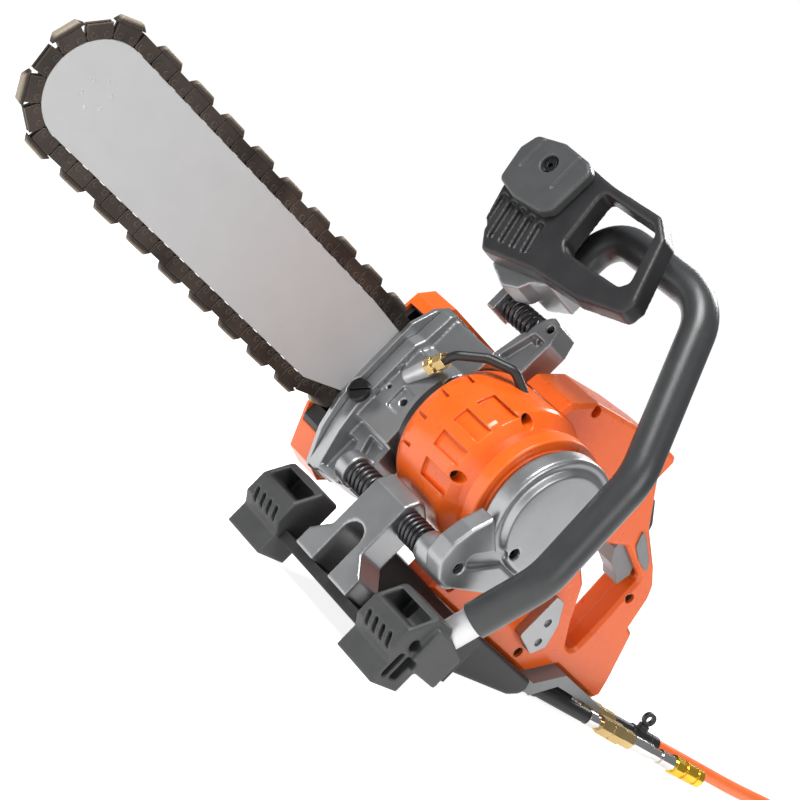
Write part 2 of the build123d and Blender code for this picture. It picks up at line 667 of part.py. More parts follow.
# Socket screws of the motor housing, the end cover and the spring lever
with BuildPart() as power_unit_screws:
    for x, z in boss_holes:
        reach = 56.0 / hypot(x, z - drive_z)
        add(bolt(x * reach, drive_z + (z - drive_z) * reach, 131, 126, 3.0, 4.2, 4))
    for x, z in cover_holes:
        add(bolt(x, z, disc_end_y + 1, disc_end_y - 7, 3.0, 4.3, 4))
    with BuildSketch(front(4)):
        with Locations((69, 114)):
            Circle(3.2)
    extrude(amount=7)
    with BuildSketch(front(11)):
        with Locations((69, 114)):
            RegularPolygon(1.6, 6)
    extrude(amount=-2.5, mode=Mode.SUBTRACT)
power_unit_screws.part.label = "power_unit_screws"

# Springs between the power unit and the handle frame
spring_gap = 0.2
spring_turns = 5


def coil(x, z, y_low, y_high, radius, turns):
    with BuildPart() as piece:
        length = y_high - y_low - 2 * (wire_r + spring_gap)
        with BuildLine() as path:
            Helix(pitch=length / turns, height=length, radius=radius - wire_r,
                  center=(x, y_low + wire_r + spring_gap, z), direction=(0, 1, 0))
        with BuildSketch(Plane(origin=path.line @ 0, z_dir=path.line % 0)):
            Circle(wire_r)
        sweep(path=path.wire(), is_frenet=True)
    return piece.part


with BuildPart() as side_springs:
    add(coil(spring_x, spring_z, left_spring_y[0], left_spring_y[1] + 2, spring_r, spring_turns))
    add(coil(spring_x, spring_z, right_spring_y[0] - 2, right_spring_y[1], spring_r, spring_turns))
side_springs.part.label = "side_springs"

with BuildPart() as spring_top:
    add(coil(top_spring_x, top_spring_z, top_spring_y[0], top_spring_y[1], spring_r - 1, 7))
spring_top.part.label = "spring_top"

# Front bracket between the two lower springs
mid_y = (bracket_y[0] + bracket_y[1]) / 2
with BuildPart() as front_bracket:
    with BuildSketch(front(bracket_back_x)):
        Polygon((bracket_y[0], bracket_top_z), (bracket_y[1], bracket_top_z), (bracket_y[1], leg_top_z + 6),
                (leg_y[1], leg_top_z - 8), (leg_y[1], base_top_z), (leg_y[0], base_top_z),
                (leg_y[0], leg_top_z - 8), (bracket_y[0], leg_top_z + 6), align=None)
        with Locations((mid_y, (base_top_z - 88) / 2 - 6)):
            SlotOverall(38 + 22, 22, rotation=90, mode=Mode.SUBTRACT)
    extrude(amount=bracket_front_x - bracket_back_x)
    with BuildSketch(side(leg_y[1] + 1)):
        Polygon((bracket_front_x + 1, bracket_top_z + 1), (bracket_front_x - 9, bracket_top_z + 1),
                (bracket_front_x + 1, bracket_top_z - 13), align=None)
    extrude(amount=leg_y[1] - leg_y[0] + 2, mode=Mode.SUBTRACT)
    add(rod(0, drive_z, housing_r + av_travel + 2.5, leg_y[0], leg_y[1]), mode=Mode.SUBTRACT)
    fillet(front_bracket.edges().filter_by(Axis.X).filter_by_position(Axis.Z, bracket_top_z - 2, bracket_top_z + 2), 3)
front_bracket.part.label = "front_bracket"

# Feet, base plate, bump stop and skid
foot_points = ((foot_back_x, -88), (44, -88), (foot_front_x, -108), (foot_front_x, -126), (52, -134),
               (52, floor_z(52)), (foot_back_x, floor_z(foot_back_x)))


def foot(y_low, y_high):
    with BuildPart() as piece:
        add(slab(foot_points, y_low, y_high))
        fillet(piece.edges().filter_by(Axis.X).group_by(Axis.Z)[-1], 3)
        add(slab(((foot_back_x + 6, -93), (70, -93), (70, -106), (foot_back_x + 6, -106)),
                 y_low + 4, y_high - 4), mode=Mode.SUBTRACT)
        for i in range(4):
            add(plate(((y_low + 5 + 9 * i, -118), (y_low + 9 + 9 * i, -118), (y_low + 15 + 9 * i, -128),
                       (y_low + 11 + 9 * i, -128)), foot_front_x - 7, foot_front_x + 5), mode=Mode.SUBTRACT)
    return piece.part


with BuildPart() as left_foot:
    add(foot(*left_foot_y))
left_foot.part.label = "left_foot"

socket_y = (186.0, 216.0)
handle_points = ((47.0, 132.0), (50.0, 200.0), (162.0, 200.0), (225.0, 74.0), (229.0, -22.0), (197.0, -112.0))
handle_radii = (26.0, 42.0, 60.0, 60.0)
handle_3d = [(handle_x, y, z) for y, z in handle_points]
with BuildPart() as front_handle:
    with BuildLine() as handle_path:
        FilletPolyline(*handle_3d, radius=handle_radii)
    with BuildSketch(Plane(handle_3d[0], z_dir=tuple(Vector(*handle_3d[1]) - Vector(*handle_3d[0])))):
        Circle(tube_r)
        Circle(tube_r - 2.5, mode=Mode.SUBTRACT)
    sweep(path=handle_path.wire())
front_handle.part.label = "front_handle"

grip_start = Vector(*handle_3d[0]) + (Vector(*handle_3d[1]) - Vector(*handle_3d[0])) * 0.3
grip_end = Vector(*handle_3d[5]) + (Vector(*handle_3d[4]) - Vector(*handle_3d[5])) * 0.42
grip_3d = [tuple(grip_start), *handle_3d[1:5], tuple(grip_end)]
with BuildPart() as handle_grip:
    with BuildLine() as grip_path:
        FilletPolyline(*grip_3d, radius=handle_radii)
    with BuildSketch(Plane(grip_3d[0], z_dir=tuple(Vector(*grip_3d[1]) - Vector(*grip_3d[0])))):
        Circle(grip_r)
        Circle(tube_r + 0.02, mode=Mode.SUBTRACT)
    sweep(path=grip_path.wire())
handle_grip.part.label = "handle_grip"

with BuildPart() as tube_core:
    with BuildSketch(Plane(handle_3d[5], z_dir=tuple(Vector(*handle_3d[4]) - Vector(*handle_3d[5])))):
        Circle(tube_r)
    extrude(amount=60)
    with BuildSketch(Plane(handle_3d[0], z_dir=tuple(Vector(*handle_3d[1]) - Vector(*handle_3d[0])))):
        Circle(tube_r)
    extrude(amount=40)

with BuildPart() as right_foot:
    add(foot(*right_foot_y))
    add(slab(((2, -100), (foot_back_x, -94), (40, -94), (40, -128), (2, -128)), *socket_y))
    add(tube_core.part, mode=Mode.SUBTRACT)
    add(rod(44, -114, 4.5, right_foot_y[1] - 12, right_foot_y[1] + 5), mode=Mode.SUBTRACT)
    add(slab(((33, -122), (41, -122), (41, -142), (33, -140)), right_foot_y[1] - 8, right_foot_y[1] + 5),
        mode=Mode.SUBTRACT)
    add(slab(((44, -122), (49, -124), (49, -144), (44, -143)), right_foot_y[1] - 8, right_foot_y[1] + 5),
        mode=Mode.SUBTRACT)
right_foot.part.label = "right_foot"

base_back_z = -84.0
with BuildPart() as base_plate:
    add(slab(((48, base_top_z), (48, base_top_z - base_thickness), (-64, base_top_z - base_thickness + 9),
              (-64, base_back_z), (-40, base_back_z), (-16, base_top_z)), left_foot_y[1], right_foot_y[0]))
    add(slab(((-64, -90), (-40, -90), (-20, -118), (-64, -118)), left_foot_y[1] + 6, 78), mode=Mode.SUBTRACT)
    add(slab(((-64, -90), (-40, -90), (-20, -118), (-64, -118)), 140, right_foot_y[0] - 6), mode=Mode.SUBTRACT)
base_plate.part.label = "base_plate"

with BuildPart() as bump_stop:
    with BuildSketch(level(base_top_z)):
        with Locations((8, 150)):
            Circle(15)
    extrude(amount=26)
    fillet(bump_stop.edges().sort_by(Axis.Z)[-1], 6)
bump_stop.part.label = "bump_stop"

skid_y = (80.0, 132.0)
skid_top = -84.0
with BuildPart() as skid:
    add(slab(((-64, skid_top), (-64, floor_z(-64)), (-176, floor_z(-176)), (-186, floor_z(-186) + 4),
              (-190, -92), (-186, skid_top)), *skid_y))
    fillet(skid.edges().filter_by(Axis.X) + skid.edges().filter_by_position(Axis.X, -191, -189), 2)
skid.part.label = "skid"


# Guard round the front handle's upper end, with the alloy bracket that holds the top spring
guard_points = ((-27, 203), (-4, 221), (58, 218), (112, 221), (130, 209), (151, 161), (149, 149),
                (106, 137), (57, 133), (6, 121), (-14, 141), (-25, 169))
window_points = ((55, 210), (111, 212), (119, 208), (134, 170), (129, 163), (70, 159), (62, 164))
guard_x = (44.0, 62.0)
hood_back_x = 20.0
hood_y = 30.0
with BuildPart() as hand_guard:
    with BuildSketch(front(guard_x[0])):
        Polygon(*guard_points, align=None)
        fillet(vertices(), 5)
        with BuildSketch(mode=Mode.SUBTRACT):
            Polygon(*window_points, align=None)
            fillet(vertices(), 4)
    extrude(amount=guard_x[1] - guard_x[0])
    chamfer(hand_guard.faces().sort_by(Axis.X)[-1].edges(), 1.6)
    with BuildSketch(front(hood_back_x)):
        Polygon((-25, 150), (-27, 203), (-4, 221), (hood_y, 219), (hood_y, 150), align=None)
        Polygon((-20, 155), (-22, 200), (-2, 215), (hood_y - 5, 213), (hood_y - 5, 155), align=None, mode=Mode.SUBTRACT)
    extrude(amount=guard_x[0] - hood_back_x)
    with BuildSketch(front(guard_x[1])):
        for i in range(5):
            Polygon((-19 + 12 * i, 164), (-12 + 12 * i, 164), (-5 + 12 * i, 128 + 3 * i), (-10 + 12 * i, 130 + 2 * i),
                    align=None)
    extrude(amount=-4, mode=Mode.SUBTRACT)
hand_guard.part.label = "hand_guard"

cap_points = ((-31, 198), (-26, 213), (1, 220.5), (32, 219.5), (41, 214), (39, 175), (31, 168), (0, 165), (-24, 170))
cap_x = (guard_x[1], 71.0)
cap_screw = (4.0, 201.0)
with BuildPart() as guard_cap:
    with BuildSketch(front(cap_x[0])):
        Polygon(*cap_points, align=None)
        fillet(vertices(), 6)
    extrude(amount=cap_x[1] - cap_x[0])
    fillet(guard_cap.faces().sort_by(Axis.X)[-1].edges(), 2.4)
    with BuildSketch(front(cap_x[1])):
        Polygon((-17, 186), (-15, 186), (-15, 222), (-17, 222), align=None)
        Polygon((22, 187), (25, 187), (25, 222), (22, 222), align=None)
    extrude(amount=-1.6, mode=Mode.SUBTRACT)
    with BuildSketch(front(cap_x[1])):
        with Locations(cap_screw):
            Circle(7.5)
    extrude(amount=-6, mode=Mode.SUBTRACT)
guard_cap.part.label = "guard_cap"

with BuildPart() as handle_bracket:
    add(plate(((-12, 150), (-4, 132), (14, 126), (44, 124), (64, 134), (64, 150)), 2, guard_x[0]))
    add(plate(((4, 132), (8, 120), (30, 112), (44, 118), (54, 134)), 20, guard_x[0]))
    add(plate(((12, 126), (14, 122), (30, 117), (38, 122), (36, 126)), 20, 38), mode=Mode.SUBTRACT)
    add(slab(((-10, 97), (14, 97), (14, 150), (-10, 150)), top_spring_y[0] - 8, top_spring_y[0]))
    add(tube_core.part, mode=Mode.SUBTRACT)
handle_bracket.part.label = "handle_bracket"

# Rear handle in two halves, with the trigger, the lockout and the switch panel
handle_outline = ((-132, 104), (-150, 97), (-187, 66), (-226, 48), (-242, 38), (-249, 28), (-258, 0), (-267, -2),
                  (-288, -41), (-294, -56), (-290, -62), (-222, -62), (-198, -84), (-44, -84), (-44, -60), (-132, -56))
handle_opening = ((-150, 12), (-156, 32), (-182, 44), (-222, 34), (-226, -25), (-226, -46), (-214, -45),
                  (-197, -28), (-176, -2))
trigger_x = -186.0
trigger_z = 46.0
lockout_x = -168.0
lockout_z = 76.0


handle_screw_places = ((-229.5, 16.8), (-174.4, -74.9), (-141.0, 92.0), (-60.0, -73.0))
cavity_half = 10.0
lockout_half = 7.0


def handle_half(y_low, y_high):
    """One half of the rear handle, chamfered outside and hollow round the trigger and the lockout."""
    with BuildPart() as piece:
        with BuildSketch(side(y_high)):
            Polygon(*handle_outline, align=None)
            with BuildSketch(mode=Mode.SUBTRACT):
                Polygon(*handle_opening, align=None)
                fillet(vertices(), 6)
        extrude(amount=y_high - y_low)
        outer_face = piece.faces().sort_by(Axis.Y)[-1 if y_low >= handle_mid_y else 0]
        chamfer(outer_face.edges(), 3)
        for points, half in hollows:
            add(slab(points, handle_mid_y - half, handle_mid_y + half), mode=Mode.SUBTRACT)
        for x, z in handle_screw_places:
            add(rod(x, z, 4.4, handle_mid_y + 11, handle_mid_y + 20), mode=Mode.SUBTRACT)
            add(rod(x, z, 2.0, handle_mid_y - 12, handle_mid_y + 14), mode=Mode.SUBTRACT)
        for x, z, radius in pin_places:
            add(rod(x, z, radius, handle_mid_y - pin_half, handle_mid_y + pin_half), mode=Mode.SUBTRACT)
    return piece.part


hollows = ((((-174, 28), (-174, 60), (-196, 54), (-223, 43.5), (-221, 24)), cavity_half),
           (((-158, 56), (-158, 96), (-206, 70), (-208, 52)), lockout_half),
           (((-136, -48), (-136, 84), (-146, 84), (-146, -48)), 8.0),
           (((-56, -66), (-56, -79), (-190, -79), (-190, -66)), 8.0))
pin_half = 13.0
pin_places = ((trigger_x, trigger_z, 2.0), (lockout_x, lockout_z, 2.0))
with BuildPart() as rear_handle_left:
    add(handle_half(handle_mid_y, handle_mid_y + handle_width))
rear_handle_left.part.label = "rear_handle_left"

with BuildPart() as rear_handle_right:
    add(handle_half(handle_mid_y - handle_width, handle_mid_y))
rear_handle_right.part.label = "rear_handle_right"

trigger_points = ((-178, 49), (-186, 52.5), (-194, 48), (-213, 38), (-218, 30), (-214, 17), (-206, 22), (-190, 26),
                  (-180, 36))
with BuildPart() as trigger:
    with BuildSketch(side(handle_mid_y + cavity_half - 1)):
        Polygon(*trigger_points, align=None)
        fillet(vertices(), 1.4)
    extrude(amount=2 * cavity_half - 2)
    add(rod(trigger_x, trigger_z, 2.0 + running_gap, handle_mid_y - 12, handle_mid_y + 12), mode=Mode.SUBTRACT)
trigger.part.label = "trigger"

lockout_points = ((-163, 76), (-167, 86), (-178, 85), (-197, 71), (-201, 63), (-190, 62), (-174, 70))
with BuildPart() as lockout:
    with BuildSketch(side(handle_mid_y + lockout_half - 1)):
        Polygon(*lockout_points, align=None)
        fillet(vertices(), 1.2)
    extrude(amount=2 * lockout_half - 2)
    add(rod(lockout_x, lockout_z, 2.0 + running_gap, handle_mid_y - 12, handle_mid_y + 12), mode=Mode.SUBTRACT)
lockout.part.label = "lockout"

# Screws of the rear handle and the guard's cap, and the pins of the trigger and the lockout
with BuildPart() as handle_fasteners:
    for x, z in handle_screw_places:
        add(rod(x, z, 4.2, handle_mid_y + 11, handle_mid_y + 14))
        add(rod(x, z, 2.0, handle_mid_y - 12, handle_mid_y + 11))
        add(rod(x, z, 1.8, handle_mid_y + 12, handle_mid_y + 14), mode=Mode.SUBTRACT)
    for x, z, radius in pin_places:
        add(rod(x, z, radius, handle_mid_y - pin_half, handle_mid_y + pin_half))
    with BuildSketch(front(cap_x[1] - 6)):
        with Locations(cap_screw):
            Circle(5.2)
            RegularPolygon(2.6, 6, mode=Mode.SUBTRACT)
    extrude(amount=4)
handle_fasteners.part.label = "handle_fasteners"

with BuildPart() as switch_panel:
    with BuildSketch(side(handle_mid_y + handle_width + 1.5)):
        Polygon((-178, 62), (-190, 58), (-210, 49), (-220, 40), (-200, 43), (-186, 49), align=None)
        fillet(vertices(), 1.5)
    extrude(amount=1.5)
switch_panel.part.label = "switch_panel"

with BuildPart() as rear_bracket:
    with BuildSketch(side(handle_mid_y + handle_width + 9)):
        Polygon((-150, -22), (-160, -22), (-175, -38), (-183, -57), (-175, -69), (-150, -64), align=None)
        fillet(vertices(), 3)
    extrude(amount=9)
    for x, z in ((-164, -42), (-172, -58)):
        add(rod(x, z, 3.6, handle_mid_y + handle_width + 5, handle_mid_y + handle_width + 10),
            mode=Mode.SUBTRACT)
rear_bracket.part.label = "rear_bracket"


# Two lines leave the step under the rear handle side by side: water in front, supply behind.
# They lie on the floor, so they are placed in the standing machine's frame.
stand = Location((-middle_x, -middle_y, floor_drop * cos(radians(rest_tilt))), (0, -rest_tilt, 0))
heading = Vector(-cos(radians(hose_heading)), sin(radians(hose_heading)), 0)
water_exit = Vector(-190.0 - middle_x, 116.0 - middle_y, hose_height)
supply_exit = Vector(-190.0 - middle_x, 89.0 - middle_y, hose_height)
pipe_length = 61.0
nut_start = 75.0
nut_end = 112.0
coupler_start = 162.0
coupler_end = 194.0
gland_length = 10.0
gland_r = 7.4


def fitting(start, steps):
    """Row of turned or many-sided lengths along a line; steps are (low, high, radius, sides)."""
    with BuildPart() as piece:
        for low, high, radius, sides in steps:
            add(barrel(start, heading, low, high, radius, sides=sides))
    return piece.part


with BuildPart() as line_glands:
    for start in (water_exit, supply_exit):
        add(barrel(start, heading, -gland_length, gland_length / 2, gland_r, end_radius=hose_r + 0.8))
        add(barrel(start, heading, 0, gland_length, hose_r), mode=Mode.SUBTRACT)
line_glands.part.label = "line_glands"

base_y = (76.0, 126.0)
with BuildPart() as handle_base:
    add(slab(((-291, -62), (-222, -62), (-198, -84), (-191, -84), (-191, -92.5), (-204, -94), (-224, -73),
              (-288, -66)), *base_y))
    add(stand.inverse() * line_glands.part, mode=Mode.SUBTRACT)
    for start in (water_exit, supply_exit):
        add(stand.inverse() * barrel(start, heading, -2, pipe_length, hose_r + 0.8), mode=Mode.SUBTRACT)
        add(stand.inverse() * barrel(start, heading, pipe_length - 2, nut_end + 20, 9.6), mode=Mode.SUBTRACT)
handle_base.part.label = "handle_base"

with BuildPart() as line_pipes:
    for start in (water_exit, supply_exit):
        add(barrel(start, heading, 0, pipe_length, hose_r))
line_pipes.part.label = "line_pipes"

with BuildPart() as line_sleeves:
    for start in (water_exit, supply_exit):
        add(fitting(start, ((pipe_length, 69, 6.8, 0), (69, nut_start, 5.4, 0))))
    add(fitting(water_exit, ((nut_end, 134, 6.6, 0), (134, 146, 5.2, 0), (146, coupler_start, 6.6, 0))))
line_sleeves.part.label = "line_sleeves"

with BuildPart() as line_nuts:
    add(fitting(water_exit, ((nut_start, 87, 8.4, 6), (87, 88, 7.4, 0), (88, 99, 8.7, 6), (99, nut_end, 7.7, 6))))
    add(fitting(supply_exit, ((nut_start, 97, 8.4, 6), (97, 99, 7.0, 0), (99, nut_end, 7.4, 6))))
line_nuts.part.label = "line_nuts"

with BuildPart() as quick_coupler:
    add(fitting(water_exit, ((coupler_start, 171, 8.7, 8), (171, 175, 6.6, 0), (175, 186, 8.0, 0),
                             (186, 188, 6.8, 0), (188, coupler_end, 7.8, 0))))
    add(barrel(water_exit, heading, coupler_end - 18, coupler_end + 1, 4.0), mode=Mode.SUBTRACT)
quick_coupler.part.label = "quick_coupler"

# Black coupling of the supply line, with its locking knob
coupling_end = 164.0
knob_place = along(supply_exit, heading, 143)
knob_r = 2.5
with BuildPart() as supply_coupling:
    add(fitting(supply_exit, ((nut_end, 134, 6.4, 0), (134, 152, 7.6, 0), (152, 155, 6.8, 0),
                              (155, coupling_end, 7.2, 0))))
    with BuildSketch(Plane(tuple(knob_place))):
        Circle(5)
    extrude(amount=11)
    with BuildSketch(Plane(tuple(knob_place + Vector(0, 0, 4)))):
        Circle(knob_r + running_gap)
    extrude(amount=8, mode=Mode.SUBTRACT)
supply_coupling.part.label = "supply_coupling"

with BuildPart() as coupling_knob:
    with BuildSketch(Plane(tuple(knob_place + Vector(0, 0, 4.2)))):
        Circle(knob_r)
    extrude(amount=8)
    with BuildSketch(Plane(tuple(knob_place + Vector(0, 0, 11.2)))):
        Circle(3.4)
    extrude(amount=2)
    with BuildSketch(Plane(tuple(knob_place + Vector(0, 0, 17)), x_dir=tuple(heading),
                           z_dir=(heading.Y, -heading.X, 0))):
        Circle(6)
        Circle(3.2, mode=Mode.SUBTRACT)
    extrude(amount=2, both=True)
coupling_knob.part.label = "coupling_knob"

# Supply cable: a free run along the floor, then the rest of it wound up, with its connector inside
cable_r = 6.0
cable_exit = along(supply_exit, heading, coupling_end)
cable_places = ((-446.0, 154.5, 6.8), (-500.0, 159.0, 6.2), (-552.0, 169.0, 6.2),
                (-598.0, 173.5, 6.2), (-640.0, 170.0, 6.2))
cable_route = [tuple(cable_exit), tuple(along(cable_exit, heading, 46)), *[(x - middle_x, y - middle_y, z) for x, y, z in cable_places]]
coil_outer_r = 72.5
coil_inner_r = 52.5
coil_centre = (cable_route[-1][0], cable_route[-1][1] + coil_outer_r)


def turn_radii(route):
    """Arc radius for each inner point: as large as the two runs beside it leave room for."""
    radii = []
    for before, corner, after in zip(route, route[1:], route[2:]):
        run_in = Vector(*corner) - Vector(*before)
        run_out = Vector(*after) - Vector(*corner)
        half_turn = radians(run_in.get_angle(run_out)) / 2
        radii.append(0.45 * min(run_in.length, run_out.length) / tan(half_turn))
    return radii


cable_radii = turn_radii(cable_route)
print("cable arcs", [round(r) for r in cable_radii])
with BuildPart() as supply_cable:
    with BuildLine() as cable_path:
        FilletPolyline(*cable_route, radius=cable_radii)
    with BuildSketch(Plane(cable_route[0], z_dir=tuple(Vector(*cable_route[1]) - Vector(*cable_route[0])))):
        Circle(cable_r)
    sweep(path=cable_path.wire())
supply_cable.part.label = "supply_cable"
cable_run = cable_path.wire().length
print("cable run", round(cable_run, 1), "volume ratio",
      round(supply_cable.part.volume / (pi * cable_r**2 * cable_run), 4))

connector_r = 9.2
connector_start = Vector(coil_centre[0] - 39.8, coil_centre[1] - 23.0, connector_r + 0.3)
connector_heading = Vector(0.035, 1.0, 0).normalized()
with BuildPart() as supply_connector:
    add(barrel(connector_start, connector_heading, 0, 12, cable_r + 0.5, end_radius=connector_r - 1))
    add(barrel(connector_start, connector_heading, 12, 34, connector_r))
    add(barrel(connector_start, connector_heading, 34, 48, connector_r - 1.2))
    add(barrel(connector_start, connector_heading, 40, 49, connector_r - 3.2), mode=Mode.SUBTRACT)
supply_connector.part.label = "supply_connector"

with BuildPart() as supply_coil:
    with BuildSketch(level(0.2)):
        with Locations(coil_centre):
            Circle(coil_outer_r + cable_r + 0.5)
            Circle(coil_inner_r - cable_r - 0.5, mode=Mode.SUBTRACT)
    extrude(amount=2 * cable_r + 0.4)
    add(supply_cable.part, mode=Mode.SUBTRACT)
    add(supply_connector.part, mode=Mode.SUBTRACT)
supply_coil.part.label = "supply_coil"

# Write every piece where it stands
tilted_pieces = (drive_links, tie_straps, chain_rivets, diamond_segments, guide_bar, nose_bearing,
                 nose_sprocket, tensioner_carrier, tensioner_screw, bar_studs, bar_pad, sprocket_cover,
                 cover_liner, gear_casting, water_nozzle, nozzle_nuts, water_jumper, motor_collar, motor_housing,
                 cooling_ring, end_cover, stator, shaft_bearings, motor_shaft, rotor, drive_sprocket, top_cover,
                 spring_lever, power_unit_screws, side_springs, spring_top, front_bracket, left_foot, right_foot,
                 front_handle, handle_grip, base_plate, bump_stop, skid, hand_guard, guard_cap, handle_bracket,
                 rear_handle_left, rear_handle_right, handle_fasteners, trigger, lockout, switch_panel,
                 rear_bracket, handle_base)
floor_pieces = (line_glands, line_pipes, line_sleeves, line_nuts, quick_coupler, supply_coupling, coupling_knob,
                supply_cable, supply_coil, supply_connector)
os.makedirs("parts", exist_ok=True)
for piece, place in [(p, stand) for p in tilted_pieces] + [(p, Location()) for p in floor_pieces]:
    placed = place * piece.part
    placed.label = piece.part.label
    export_step(placed, f"parts/{placed.label}.step")
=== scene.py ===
import json
from math import cos, radians, sin

import bmesh
import bpy
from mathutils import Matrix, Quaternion, Vector


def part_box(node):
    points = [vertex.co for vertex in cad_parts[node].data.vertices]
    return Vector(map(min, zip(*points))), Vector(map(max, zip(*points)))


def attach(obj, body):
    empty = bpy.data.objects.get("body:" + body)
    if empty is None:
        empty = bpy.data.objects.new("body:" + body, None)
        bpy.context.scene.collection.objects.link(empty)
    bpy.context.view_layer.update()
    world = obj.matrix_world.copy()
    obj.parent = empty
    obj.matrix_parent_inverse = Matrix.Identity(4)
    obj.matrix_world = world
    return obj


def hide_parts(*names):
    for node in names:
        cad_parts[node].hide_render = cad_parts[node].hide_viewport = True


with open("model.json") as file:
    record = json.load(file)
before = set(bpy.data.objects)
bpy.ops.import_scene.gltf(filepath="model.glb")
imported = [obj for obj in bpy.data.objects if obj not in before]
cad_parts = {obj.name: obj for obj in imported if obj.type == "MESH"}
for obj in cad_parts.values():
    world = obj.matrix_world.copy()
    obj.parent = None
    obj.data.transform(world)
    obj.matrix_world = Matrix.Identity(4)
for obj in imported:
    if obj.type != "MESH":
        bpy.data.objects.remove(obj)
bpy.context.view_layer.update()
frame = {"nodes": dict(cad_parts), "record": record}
nodes = frame["nodes"]
print("frame loaded:", len(nodes), "CAD pieces")

# The chain runs round the spine of the bar, from the drive axis to the nose sprocket
shaftLow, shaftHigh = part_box("motor_shaft")
shaftMiddle = (shaftLow + shaftHigh) / 2
noseLow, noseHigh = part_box("nose_sprocket")
noseMiddle = (noseLow + noseHigh) / 2

